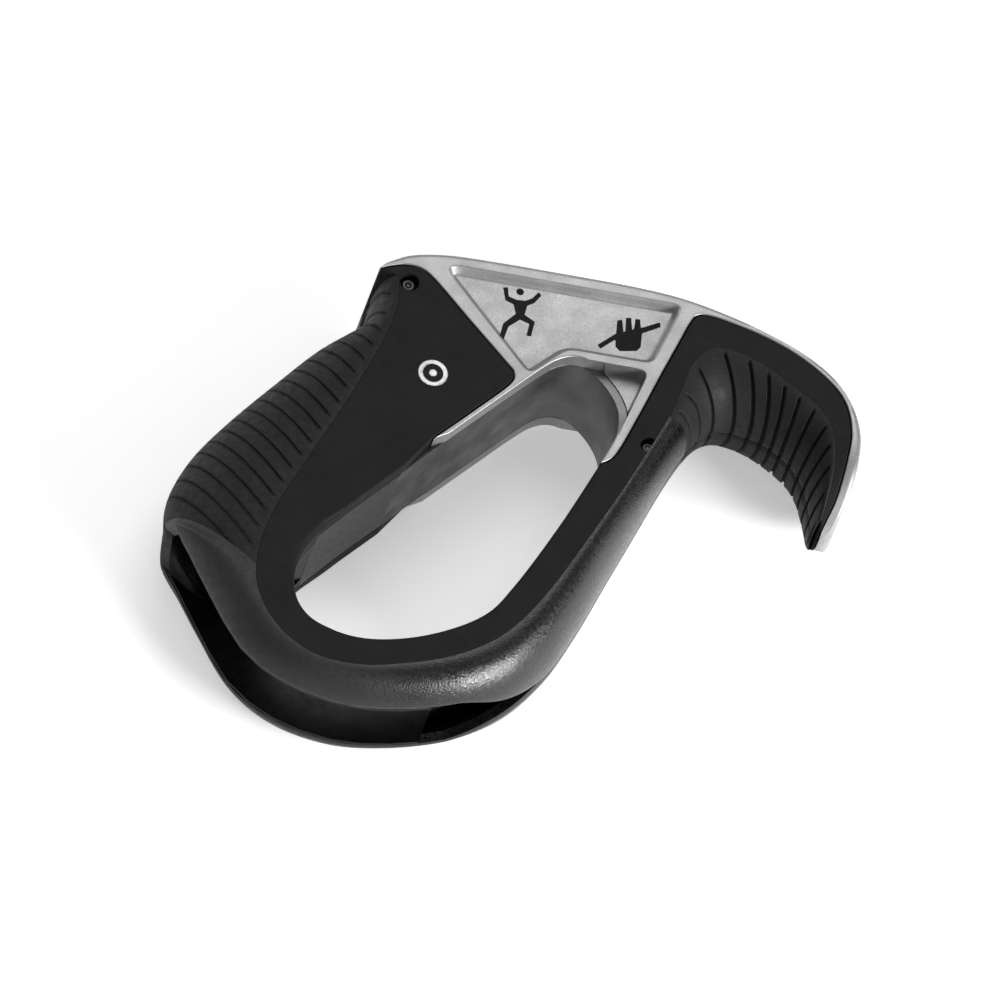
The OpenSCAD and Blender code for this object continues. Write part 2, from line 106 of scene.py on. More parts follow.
SPINE = [(-16.4, 31.4), (-14.8, 33.1), (-11.4, 35.1), (-5.4, 36.3), (3.0, 36.6),
         (14.0, 36.6), (25.0, 36.5), (33.6, 35.9), (41.4, 34.3), (49.0, 31.9),
         (55.6, 29.0), (60.6, 25.5), (64.0, 21.0), (65.7, 16.0), (65.9, 11.0),
         (65.3, 6.4), (64.2, 3.0), (63.1, 1.1), (61.9, 0.3)]
# Corners of the sunken faces, each with its radius.
POCKET = [(-6.6, 34.5, 1.8), (9.8, 15.9, 1.8), (15.9, 22.0, 4), (30.2, 22.0, 2.4),
          (34.6, 34.3, 1.6)]
PANEL = [(16.4, 20.8, 0.1), (29.8, 20.7, 1.6), (25.6, 7.6, 0.1), (20.0, 7.0, 0.1)]
CHANNEL_END = [(-60, -12), (-60, -62), (24, -62), (12.4, -41.2), (8.6, -36.0),
               (6.8, -30.0), (4.0, -20.0), (-12.0, -12.0)]
TOP_RIVET = (-11.3, 29.6)
ARM_RIVET = (30.7, 6.6)
MARK_AT = (-6.0, 13.2)
CLIMBER_AT = (6.8, 27.5)
HAND_AT = (26.0, 27.9)
TIP_X, TIP_FROM, TIP_LENGTH = 56, 16, 15.6
# Where the grooves of the thumb grip start on the plateau.
THUMB_GROOVES = [(32.1, 6.7), (33.0, 8.9), (33.9, 11.4), (34.9, 14.1), (36.1, 17.5),
                 (38.3, 22.2), (42.3, 25.2), (46.3, 24.5), (49.4, 23.2), (52.1, 21.7),
                 (54.8, 20.2), (57.2, 18.2), (59.6, 15.8), (60.7, 12.7), (60.8, 9.4),
                 (60.2, 5.7), (59.8, 2.4)]


def curve(points, steps):
    """Smooth curve through the points, with that many points for each stretch."""
    p = np.array(points, float)
    n = len(p) - 1
    out = []
    for i in range(n):
        a, b, c, d = p[max(i - 1, 0)], p[i], p[i + 1], p[min(i + 2, n)]
        for t in np.arange(steps) / steps:
            out.append(0.5 * (2 * b + (c - a) * t + (2 * a - 5 * b + 4 * c - d) * t ** 2
                              + (3 * b - 3 * c + d - a) * t ** 3))
    out.append(p[n])
    return np.array(out)


def beside(p, d):
    """The open curve p moved sideways by d, to the left of its direction."""
    v = np.gradient(p, axis=0)
    v /= np.linalg.norm(v, axis=1)[:, None]
    return p + np.reshape(d, (-1, 1)) * np.stack([-v[:, 1], v[:, 0]], axis=1)


def inset(loop, d):
    """The closed counter-clockwise loop moved inwards by d, one value or one per point."""
    before = loop - np.roll(loop, 1, axis=0)
    after = np.roll(loop, -1, axis=0) - loop
    n0 = np.stack([-before[:, 1], before[:, 0]], 1) / np.linalg.norm(before, axis=1)[:, None]
    n1 = np.stack([-after[:, 1], after[:, 0]], 1) / np.linalg.norm(after, axis=1)[:, None]
    n = n0 + n1
    n /= np.maximum(np.sum(n * n, axis=1), 0.5)[:, None] / 2
    return loop + np.reshape(d, (-1, 1)) * n


def rounded(corners, steps=10):
    """Closed loop through corners (x, y, radius), each one rounded."""
    out = []
    n = len(corners)
    for i, (x, y, r) in enumerate(corners):
        p = np.array([x, y])
        a = np.array(corners[i - 1][:2]) - p
        b = np.array(corners[(i + 1) % n][:2]) - p
        a, b = a / np.linalg.norm(a), b / np.linalg.norm(b)
        cut = r / math.tan(math.acos(a @ b) / 2)
        for t in np.arange(steps + 1) / steps:
            out.append((1 - t) ** 2 * (p + cut * a) + 2 * t * (1 - t) * p + t * t * (p + cut * b))
    return ccw(np.array(out))


def resample(loop, step):
    """The closed loop with points no more than step apart."""
    out = []
    for a, b in zip(loop, np.roll(loop, -1, axis=0)):
        n = max(1, int(math.ceil(np.linalg.norm(b - a) / step)))
        out += [a + (b - a) * k / n for k in range(n)]
    return np.array(out)


def ccw(loop):
    x, y = loop[:, 0], loop[:, 1]
    area = np.sum(x * np.roll(y, -1) - np.roll(x, -1) * y)
    return loop if area > 0 else loop[::-1]


def clean(loop, least=0.02):
    """The closed loop without points that fall on each other."""
    keep = np.linalg.norm(loop - np.roll(loop, 1, axis=0), axis=1) > least
    return loop[keep]


def circle(at, r, n=48):
    a = np.arange(n) * 2 * math.pi / n
    return np.stack([at[0] + r * np.cos(a), at[1] + r * np.sin(a)], 1)


def within(loop, xy):
    """Whether each of the points xy lies inside the closed loop."""
    hit = np.zeros(len(xy), bool)
    x, y = xy[:, 0], xy[:, 1]
    for (ax, ay), (bx, by) in zip(loop, np.roll(loop, -1, axis=0)):
        if ay == by:
            continue
        cross = (ay > y) != (by > y)
        hit ^= cross & (x < (bx - ax) * (y - ay) / (by - ay) + ax)
    return hit


def distance(loop, xy, values=None):
    """Distance of the points xy from the closed loop, and the value at the nearest place."""
    a, b = loop, np.roll(loop, -1, axis=0)
    best = np.full(len(xy), 1e9)
    value = np.zeros(len(xy))
    v = values if values is not None else np.zeros(len(loop))
    w = np.roll(v, -1)
    for i in range(len(a)):
        e = b[i] - a[i]
        t = np.clip(((xy - a[i]) @ e) / max(e @ e, 1e-12), 0, 1)
        d = np.linalg.norm(xy - a[i] - t[:, None] * e, axis=1)
        near = d < best
        best[near] = d[near]
        value[near] = (v[i] + (w[i] - v[i]) * t)[near]
    return best, value


def smooth(t):
    t = np.clip(t, 0, 1)
    return t * t * (3 - 2 * t)


# --- the same sizes as the frame's -------------------------------------------

STEPS = 8
spine = curve(SPINE, STEPS)
hook_seam = curve(SEAM_HOOK, STEPS)
grip_seam = curve(SEAM_GRIP, STEPS)
plate_edge = curve(LOOP_PLATE, STEPS)
arm_edge = curve(LOOP_ARM, STEPS)
guide_edge = curve(LOOP_GUIDE, STEPS)
exit_edge = curve(GUIDE_EXIT, STEPS)
flank = curve(FLANK, STEPS)

drawn = np.concatenate([flank[:, 2:4], spine])
MIDDLE = (drawn.min(axis=0) + drawn.max(axis=0)) / 2
SCALE = (CAD_BOX[1][0] - CAD_BOX[0][0]) / (drawn[:, 0].max() - drawn[:, 0].min()) / MM
FIT = 0.05           # clearance round a seated piece
H = (CAD_BOX[1][2] - CAD_BOX[0][2]) / 2 / MM        # flat face over the middle plane
PLATE_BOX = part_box("wear_plate")
PLATE_H = (PLATE_BOX[1][2] - PLATE_BOX[0][2]) / 2 / MM + FIT
LINER_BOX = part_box("channel_liner_front")
SLOT_H = LINER_BOX[0][2] / MM - H
CHEEK_H = LINER_BOX[1][2] / MM - H + FIT
FLOOR_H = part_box("climber_icon")[1][2] / MM - H     # height of the pocket floor
SEAM_GAP = 0.25      # visible seam between shell and frame
PLATE_T = 1.6        # thickness of the wear plate
GUIDE_T = 2.2        # thickness of the rope guide
COVER_WALL = 2.0     # wall of the ring cover and of the layer in the hook
FINGER_WALL = 2.4    # wall of the finger grip
TOP_RIVET_D = 2.4
ARM_RIVET_D = 2.0
TOP_BORE_R = 1.65    # radius of the counterbore over each rivet
ARM_BORE_R = 1.45
BORE_DEPTH = 1.6
BUSH_WALL = 0.8
MARK_RADII = (2.5, 1.7, 0.7)    # outside and inside of the ring, and the dot
MARK_DEPTH = 0.2     # how deep the round mark is let into the face
INK_DEPTH = 0.3      # how deep the icons are let into the pocket floor
SLOT_OPEN = 0.98     # share of its full height from which the slot counts as open
PLATE_OPEN = 10      # curve points of the wear plate that stand clear of the frame


def to_row(x, y, z):
    """Point of the design at height z over the middle plane, in the row frame."""
    return Vector(((x - MIDDLE[0]) * SCALE, (y - MIDDLE[1]) * SCALE, z + H)) * MM


def tip_factor(x, y):
    """How much of its height the body still has at x, y: it falls at the hook's tip."""
    s = np.where(x < TIP_X, 0, np.clip((TIP_FROM - y) / TIP_LENGTH, 0, 0.999))
    return np.sqrt(1 - s * s)


# --- materials ---------------------------------------------------------------

class Nodes:
    """Short ways to add shader nodes to one material."""

    def __init__(self, name):
        self.material = bpy.data.materials.new(name)
        self.material.use_nodes = True
        self.tree = self.material.node_tree
        self.shader = self.tree.nodes["Principled BSDF"]
        self.coords = self.tree.nodes.new("ShaderNodeTexCoord").outputs["Object"]

    def link(self, a, b):
        self.tree.links.new(a, b)

    def noise(self, size_mm, detail=3, stretch=(1, 1, 1)):
        """Noise whose features are about size_mm across, as a factor."""
        place = self.tree.nodes.new("ShaderNodeMapping")
        place.inputs["Scale"].default_value = [s / (size_mm * MM) for s in stretch]
        self.link(self.coords, place.inputs["Vector"])
        n = self.tree.nodes.new("ShaderNodeTexNoise")
        n.inputs["Scale"].default_value = 1
        n.inputs["Detail"].default_value = detail
        self.link(place.outputs["Vector"], n.inputs["Vector"])
        return n.outputs["Fac"]

    def cells(self, size_mm):
        v = self.tree.nodes.new("ShaderNodeTexVoronoi")
        v.inputs["Scale"].default_value = 1 / (size_mm * MM)
        self.link(self.coords, v.inputs["Vector"])
        return v.outputs["Distance"]

    def along_x(self, start_mm, end_mm):
        """Factor that rises from 0 to 1 between two places along the X axis."""
        parts = self.tree.nodes.new("ShaderNodeSeparateXYZ")
        self.link(self.coords, parts.inputs[0])
        spread = self.tree.nodes.new("ShaderNodeMapRange")
        spread.interpolation_type = "SMOOTHSTEP"
        spread.inputs["From Min"].default_value = start_mm * MM
        spread.inputs["From Max"].default_value = end_mm * MM
        self.link(parts.outputs["X"], spread.inputs["Value"])
        return spread.outputs["Result"]

    def ramp(self, factor, low, high, start=0.0, end=1.0):
        """Colour or grey that goes from low to high as the factor goes from start to end."""
        r = self.tree.nodes.new("ShaderNodeValToRGB")
        r.color_ramp.elements[0].position = start
        r.color_ramp.elements[1].position = end
        grey = isinstance(low, (int, float))
        r.color_ramp.elements[0].color = (low,) * 3 + (1,) if grey else (*low, 1)
        r.color_ramp.elements[1].color = (high,) * 3 + (1,) if grey else (*high, 1)
        self.link(factor, r.inputs["Fac"])
        return r.outputs["Color"]

    def mix(self, factor, a, b, how="MIX"):
        m = self.tree.nodes.new("ShaderNodeMix")
        m.data_type = "RGBA"
        m.blend_type = how
        for socket, value in ((m.inputs["Factor"], factor), (m.inputs["A"], a), (m.inputs["B"], b)):
            if isinstance(value, bpy.types.NodeSocket):
                self.link(value, socket)
            elif isinstance(value, (int, float)):
                socket.default_value = value
            else:
                socket.default_value = (*value, 1)
        return m.outputs["Result"]

    def groove_shade(self):
        """Painted shade for moulded grooves, from the mesh: 1 at the bottom of a groove."""
        a = self.tree.nodes.new("ShaderNodeAttribute")
        a.attribute_name = "groove_shade"
        return a.outputs["Fac"]

    def bump(self, height, strength, depth_mm, over=None):
        b = self.tree.nodes.new("ShaderNodeBump")
        b.inputs["Strength"].default_value = strength
        b.inputs["Distance"].default_value = depth_mm * MM
        self.link(height, b.inputs["Height"])
        if over is not None:
            self.link(over, b.inputs["Normal"])
        return b.outputs["Normal"]

    def finish(self, colour, roughness, normal, metallic=0.0, specular=0.5):
        s = self.shader
        self.link(colour, s.inputs["Base Color"])
        self.link(roughness, s.inputs["Roughness"])
        self.link(normal, s.inputs["Normal"])
        s.inputs["Metallic"].default_value = metallic
        s.inputs["Specular IOR Level"].default_value = specular
        return self.material


def die_cast():
    """Bead-blasted light metal: an even fine grain, slightly cloudy."""
    m = Nodes("die_cast")
    colour = m.ramp(m.noise(9, 4), (0.30, 0.30, 0.303), (0.37, 0.37, 0.372), 0.3, 0.7)
    colour = m.mix(0.35, colour, m.ramp(m.noise(0.25, 2), 0.24, 0.46, 0.35, 0.65))
    rough = m.ramp(m.noise(3, 3), 0.42, 0.52, 0.3, 0.7)
    fine = m.bump(m.noise(0.22, 2), 0.5, 0.02)
    return m.finish(colour, rough, m.bump(m.noise(2.5, 2), 0.15, 0.05, fine), metallic=0.85)


def steel_plate():
    """Satin rolled steel with fine lines along the rope's way, dark towards low X and brighter
    towards high X.
    """
    m = Nodes("steel_plate")
    lines = m.noise(0.5, 4, (1, 1, 7))
    bright_tone = m.mix(0.5, m.ramp(lines, 0.13, 0.19, 0.3, 0.7),
                 m.ramp(m.noise(7, 2), 0.12, 0.18, 0.35, 0.65))
    dark = m.ramp(lines, 0.030, 0.055, 0.3, 0.7)
    # The plate's colour goes from dark at low X to brighter at high X.
    colour = m.mix(m.along_x(-14, 4), dark, bright_tone)
    rough = m.ramp(m.noise(5, 3), 0.36, 0.50, 0.35, 0.65)
    return m.finish(colour, rough, m.bump(lines, 0.3, 0.015), metallic=0.95)


def gloss_black():
    """Hard glossy black with faint moulding waves and rope scuffs."""
    m = Nodes("gloss_black")
    colour = m.ramp(m.noise(4, 4), (0.002, 0.002, 0.0022), (0.005, 0.005, 0.0054), 0.35, 0.7)
    rough = m.ramp(m.noise(1.4, 4, (1, 1, 4)), 0.26, 0.40, 0.4, 0.75)
    return m.finish(colour, rough, m.bump(m.noise(3.5, 2), 0.2, 0.03), specular=0.1)


def shell_black():
    """Matte dark grey glass-filled plastic with a fine even noise."""
    m = Nodes("shell_black")
    colour = m.mix(0.5, m.ramp(m.noise(0.35, 3), 0.005, 0.009, 0.35, 0.65),
                   m.ramp(m.noise(8, 3), 0.006, 0.010, 0.35, 0.65))
    scuffs = m.ramp(m.noise(1.6, 5, (1, 4, 1)), 0.0, 0.5, 0.66, 0.80)
    colour = m.mix(scuffs, colour, (0.022, 0.022, 0.0225))
    rough = m.ramp(m.noise(2.5, 3), 0.60, 0.66, 0.35, 0.65)
    fine = m.bump(m.noise(0.22, 2), 0.45, 0.02)
    return m.finish(colour, rough, m.bump(m.noise(6, 2), 0.03, 0.06, fine), specular=0.15)


def textured_black():
    """Black that goes from a fine grain at the grip to coarse sparkling grains on the arm."""
    m = Nodes("textured_black")
    arm = m.along_x(-34, -8)
    fine = m.mix(0.5, m.ramp(m.noise(0.4, 3), 0.006, 0.016, 0.35, 0.65),
                 m.ramp(m.noise(6, 3), 0.009, 0.013, 0.35, 0.65))
    colour = m.mix(arm, fine, m.ramp(m.noise(0.6, 3), 0.002, 0.007, 0.35, 0.65))
    rough = m.mix(arm, m.ramp(m.noise(1.2, 3), 0.54, 0.68, 0.35, 0.65),
                  m.ramp(m.noise(0.7, 3), 0.20, 0.34, 0.35, 0.65))
    grains = m.mix(0.35, m.noise(0.24, 1), m.cells(0.30))
    height = m.mix(arm, m.mix(0.75, grains, (0.5, 0.5, 0.5)), grains)
    return m.finish(colour, rough, m.bump(height, 0.9, 0.09), specular=0.5)


def grip_rubber():
    """Soft matte rubber with painted shade darkening its grooves, duller there too, slightly worn.
    """
    m = Nodes("grip_rubber")
    colour = m.mix(0.5, m.ramp(m.noise(0.4, 3), 0.006, 0.016, 0.35, 0.65),
                   m.ramp(m.noise(6, 3), 0.009, 0.013, 0.35, 0.65))
    # Painted shade: the groove factor from the mesh darkens the colour in the grooves.
    colour = m.mix(m.groove_shade(), colour, (0.0008, 0.0008, 0.0008))
    rough = m.mix(m.groove_shade(), m.ramp(m.noise(1.2, 3), 0.56, 0.72, 0.35, 0.65), (0.9, 0.9, 0.9))
    return m.finish(colour, rough, m.bump(m.noise(0.35, 3), 0.5, 0.035), specular=0.22)


def rivet_steel():
    """Blackened steel with a dull uneven skin."""
    m = Nodes("rivet_steel")
    colour = m.mix(0.5, m.ramp(m.noise(0.3, 3), 0.03, 0.09, 0.3, 0.7),
                   m.ramp(m.noise(1.5, 3), 0.05, 0.08, 0.3, 0.7))
    rough = m.ramp(m.noise(0.6, 3), 0.28, 0.46, 0.3, 0.7)
    return m.finish(colour, rough, m.bump(m.noise(0.2, 3), 0.4, 0.02), metallic=0.95)


def icon_fill():
    """Dark matt paint that lies a little uneven in its recess."""
    m = Nodes("icon_fill")
    colour = m.ramp(m.noise(0.5, 3), 0.003, 0.007, 0.3, 0.7)
    rough = m.ramp(m.noise(0.8, 3), 0.55, 0.72, 0.3, 0.7)
    return m.finish(colour, rough, m.bump(m.noise(0.5, 3), 0.4, 0.02), specular=0.15)


def mark_white():
    """Thin pale print with small wear spots."""
    m = Nodes("mark_white")
    colour = m.ramp(m.noise(0.4, 4), 0.55, 0.85, 0.3, 0.6)
    rough = m.ramp(m.noise(0.7, 3), 0.45, 0.60, 0.3, 0.7)
    return m.finish(colour, rough, m.bump(m.noise(0.3, 3), 0.4, 0.02))


MATERIALS = {make.__name__: make() for make in (
    die_cast, steel_plate, gloss_black, shell_black, textured_black, grip_rubber,
    rivet_steel, icon_fill, mark_white)}


# --- mesh making -------------------------------------------------------------

FLAT = 0.99999       # faces whose normal lies this near the Z axis are shaded flat


def add_piece(name, points, faces, slot, node=None, side=1, groove_shade=None, sharp=35):
    """Object from points of the design and faces; side -1 is the mirror image."""
    mesh = bpy.data.meshes.new(name)
    p = np.array(points, float)
    flip = [tuple(f)[::side] for f in faces]
    mesh.from_pydata([to_row(x, y, side * z) for x, y, z in p], [], flip)
    # Per-point painted shade for the grooves, kept as a mesh attribute for the material.
    if groove_shade is not None:
        layer = mesh.attributes.new("groove_shade", "FLOAT", "POINT")
        layer.data.foreach_set("value", np.array(groove_shade, np.float32))
    bm = bmesh.new()
    bm.from_mesh(mesh)
    bmesh.ops.remove_doubles(bm, verts=bm.verts, dist=2e-6)
    bmesh.ops.dissolve_degenerate(bm, edges=bm.edges, dist=1e-6)
    bmesh.ops.recalc_face_normals(bm, faces=bm.faces)
    bm.to_mesh(mesh)
    bm.free()
    mesh.shade_smooth()
    for face in mesh.polygons:
        face.use_smooth = abs(face.normal.z) < FLAT
    mesh.set_sharp_from_angle(angle=math.radians(sharp))
    mesh.materials.append(MATERIALS[slot])
    piece = bpy.data.objects.new(name, mesh)
    bpy.context.scene.collection.objects.link(piece)
    even = piece.modifiers.new("even", "WEIGHTED_NORMAL")
    even.keep_sharp = True
    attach(piece, "root")
    if node:
        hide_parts(node)
    return piece


def relief(name, loops, inside, top, bottom, **how):
    """Solid over the plan where inside(xy) holds, between two height functions.

    The loops are the closed lines that the surface has points along.
    """
    points, edges = [], []
    for loop in loops:
        start = len(points)
        points += [Vector(q) for q in loop]
        edges += [(start + i, start + (i + 1) % len(loop)) for i in range(len(loop))]
    flat, _, tris, _, _, _ = delaunay_2d_cdt(points, edges, [], 0, 1e-4)
    xy = np.array([(v.x, v.y) for v in flat])
    tris = [t for t in tris if len(t) == 3]
    centres = np.array([xy[list(t)].mean(axis=0) for t in tris])
    tris = [t for t, keep in zip(tris, inside(centres)) if keep]
    used = sorted({i for t in tris for i in t})
    place = {v: i for i, v in enumerate(used)}
    xy = xy[used]
    tris = [tuple(place[i] for i in t) for t in tris]
    upper, lower = top(xy), bottom(xy)
    n = len(xy)
    faces = tris + [tuple(i + n for i in t[::-1]) for t in tris]
    rim = {}
    for t in tris:
        for a, b in zip(t, t[1:] + t[:1]):
            if (b, a) in rim:
                del rim[(b, a)]
            else:
                rim[(a, b)] = True
    faces += [(a, a + n, b + n, b) for a, b in rim]
    solid = np.concatenate([np.column_stack([xy, upper]), np.column_stack([xy, lower])])
    return add_piece(name, solid, faces, **how)


GUARD = 0.12         # width of the flat band that keeps a rounding out of the face beside it


def edge_loops(outline, radius):
    """The outline and its copies inwards across the rounding of its edge."""
    bands = [inset(outline, radius * t) for t in (0, 0.06, 0.2, 0.4, 0.66, 1)]
    return bands + [inset(outline, radius + GUARD)]


def edge_drop(outline, radius, xy):
    """How far the rounded edge of the outline lies under its face."""
    d, r = distance(outline, xy, radius)
    r = np.maximum(r, 1e-6)
    t = np.clip(1 - d / r, 0, 1)
    return r * (1 - np.sqrt(np.clip(1 - t * t, 0, 1)))


class Sunken:
    """A sunken face: its loop, depth and the width of its sloping wall."""

    def __init__(self, loop, depth, width):
        self.loop, self.depth, self.width = ccw(loop), depth, width

    def loops(self):
        bands = [inset(self.loop, self.width * t) for t in (0, 0.12, 0.25, 0.4, 0.55, 0.7, 0.85, 1)]
        return [inset(self.loop, -GUARD)] + bands + [inset(self.loop, self.width + GUARD)]

    def drop(self, xy):
        d, _ = distance(self.loop, xy)
        d[~within(self.loop, xy)] = 0
        return self.depth * smooth(d / self.width)


CLIMBER = [(-2.4, 5.0), (-1.6, 5.2), (-1.3, 3.5), (0.0, 3.1), (1.5, 3.2), (2.6, 3.9),
           (3.6, 5.3), (4.1, 4.7), (3.0, 3.0), (1.9, 2.3), (1.6, 0.5), (3.4, -0.5),
           (3.0, -3.4), (2.2, -3.4), (2.5, -1.1), (0.9, -0.6), (-0.9, -2.3), (-1.5, -5.0),
           (-2.3, -4.8), (-1.8, -1.8), (0.1, 0.4), (-0.4, 2.1), (-1.8, 2.6)]
HAND = [(-5.1, -3.2), (-4.6, -3.9), (-2.2, -1.6), (-2.1, -3.0), (-1.3, -3.7), (1.5, -3.1),
        (2.1, -2.2), (2.1, 0.4), (5.1, 2.2), (4.9, 3.1), (1.8, 1.4), (1.6, 3.0), (0.8, 3.0),
        (0.7, 1.0), (0.4, 0.8), (0.1, 3.0), (-0.8, 2.9), (-0.7, 0.3), (-1.0, 0.1),
        (-1.4, 2.4), (-2.2, 2.1), (-2.2, -0.4)]


def icon(at, outline):
    """Outline of an icon at its place, with its corners rounded as far as its edges allow."""
    p = np.array(outline, float)
    before, after = np.roll(p, 1, axis=0) - p, np.roll(p, -1, axis=0) - p
    long_b, long_a = np.linalg.norm(before, axis=1), np.linalg.norm(after, axis=1)
    half = np.arccos((before * after).sum(axis=1) / (long_b * long_a)) / 2
    radius = np.minimum(0.2, 0.4 * np.minimum(long_b, long_a) * np.tan(half))
    return rounded([(x + at[0], y + at[1], r) for (x, y), r in zip(outline, radius)], 4)


HEAD_AT = (0.5, 4.7)
HEAD_R = 0.65
CLIMBER_LOOPS = [icon(CLIMBER_AT, CLIMBER),
                 circle((CLIMBER_AT[0] + HEAD_AT[0], CLIMBER_AT[1] + HEAD_AT[1]), HEAD_R)]
HAND_LOOPS = [icon(HAND_AT, HAND)]
MARK = [circle(MARK_AT, r, n) for r, n in zip(MARK_RADII, (64, 64, 32))]


def ribbon_loop(edge, a, b):
    """Closed loop between two copies of the open curve, moved sideways by a and b."""
    return ccw(clean(np.concatenate([beside(edge, a), beside(edge, b)[::-1]])))


PLATE_SEAT = ribbon_loop(plate_edge, -1, PLATE_T + FIT)
GUIDE_SEAT = ribbon_loop(guide_edge, -1, GUIDE_T + FIT)
EXIT_SEAT = ribbon_loop(exit_edge[::-1], -1, GUIDE_T + FIT)
PANEL_LOOP = rounded(PANEL)
POCKET_LOOP = resample(rounded(POCKET), 1.5)
channel = ccw(np.concatenate([exit_edge, np.array(CHANNEL_END, float)]))


def both_sides(loop, gap=0.02):
    """Two loops a hair apart, for a wall that stands straight."""
    return [loop, inset(loop, gap)]


# --- frame -------------------------------------------------------------------

def frame_outline():
    """Outline of the silver frame and the radius of its edge at each point."""
    plate = plate_edge[PLATE_OPEN:]
    parts = [(spine, 0.95), (hook_seam[::-1], 0.22), (plate[::-1], 0.3), (grip_seam[::-1], 0.22)]
    loop = np.concatenate([p for p, _ in parts])
    radius = np.concatenate([np.full(len(p), r) for p, r in parts])
    tip = np.clip((loop[:, 1] - 0.3) / 7, 0.05, 1)
    corner = np.clip(np.linalg.norm(loop - np.array(SPINE[0]), axis=1) / 4, 0.15, 1)
    radius *= np.where(loop[:, 0] > TIP_X, tip, 1) * corner
    keep = np.linalg.norm(loop - np.roll(loop, 1, axis=0), axis=1) > 0.03
    loop, radius = loop[keep], radius[keep]
    if not np.array_equal(ccw(loop), loop):
        loop, radius = loop[::-1], radius[::-1]
    return loop, radius


def frame_half(name, side, icons):
    outline, radius = frame_outline()
    pocket = Sunken(POCKET_LOOP, H - FLOOR_H, 1.3)
    panel = Sunken(PANEL_LOOP, H - PLATE_H, 0.5)
    recess = [Sunken(loop, INK_DEPTH, 0.06) for loop in icons]
    loops = edge_loops(outline, radius) + pocket.loops() + panel.loops() + both_sides(PLATE_SEAT)
    for r in recess:
        loops += [r.loop, inset(r.loop, r.width)]

    def top(xy):
        z = H - edge_drop(outline, radius, xy) - pocket.drop(xy) - panel.drop(xy)
        for r in recess:
            z -= r.drop(xy)
        return z * tip_factor(xy[:, 0], xy[:, 1])

    def bottom(xy):
        seat = within(inset(PLATE_SEAT, 0.01), xy)
        z = np.where(seat, PLATE_H, FIT)
        return np.minimum(z, top(xy) - 0.02)

    def inside(xy):
        return within(outline, xy) & ~(within(PANEL_LOOP, xy) & within(PLATE_SEAT, xy))

    relief(name, loops, inside, top, bottom, slot="die_cast", node=name, side=side)


# --- shells ------------------------------------------------------------------

def shell_outline():
    crease = flank[:, :2]
    wide = 0.5 + 1.0 * smooth((-19 - arm_edge[:, 0]) / 4)
    guide = 0.35 + 1.15 * smooth((-17 - guide_edge[:, 0]) / 5)
    parts = [(crease, 0.05), (beside(hook_seam, -SEAM_GAP)[::-1], 0.2), (arm_edge, wide),
             (guide_edge, guide), (beside(grip_seam, -SEAM_GAP)[::-1], 0.2)]
    loop = np.concatenate([p for p, _ in parts])
    radius = np.concatenate([np.full(len(p), r) for p, r in parts])
    tip = np.clip((loop[:, 1] - 0.3) / 7, 0.05, 1)
    radius *= np.where(loop[:, 0] > TIP_X, tip, 1)
    keep = np.linalg.norm(loop - np.roll(loop, 1, axis=0), axis=1) > 0.03
    return loop[keep], radius[keep]


def shell_half(name, side, mark):
    outline, radius = shell_outline()
    bores = [Sunken(circle(at, r), BORE_DEPTH, 0.14)
             for at, r in ((TOP_RIVET, TOP_BORE_R), (ARM_RIVET, ARM_BORE_R))]
    loops = edge_loops(outline, radius) + both_sides(channel) + both_sides(GUIDE_SEAT)
    loops += both_sides(PLATE_SEAT) + both_sides(EXIT_SEAT)
    for b in bores:
        loops += b.loops()
    if mark:
        loops += [q for m in MARK for q in both_sides(m, 0.03)]

    def top(xy):
        z = H - edge_drop(outline, radius, xy)
        for b in bores:
            z -= b.drop(xy)
        if mark:
            d = np.linalg.norm(xy - np.array(MARK_AT), axis=1)
            z -= np.where(((d < 2.49) & (d > 1.68)) | (d < 0.69), MARK_DEPTH, 0)
        return z * tip_factor(xy[:, 0], xy[:, 1])

    def bottom(xy):
        z = np.full(len(xy), FIT)
        z[within(inset(PLATE_SEAT, 0.01), xy) | within(inset(GUIDE_SEAT, 0.01), xy)] = PLATE_H
        low = within(inset(channel, 0.01), xy) | within(inset(EXIT_SEAT, 0.01), xy)
        z[low] = np.maximum(z[low], CHEEK_H)
        return np.minimum(z, top(xy) - 0.02)

    relief(name, loops, lambda xy: within(outline, xy), top, bottom,
           slot="shell_black", node=name, side=side)


# --- rounded covers ----------------------------------------------------------

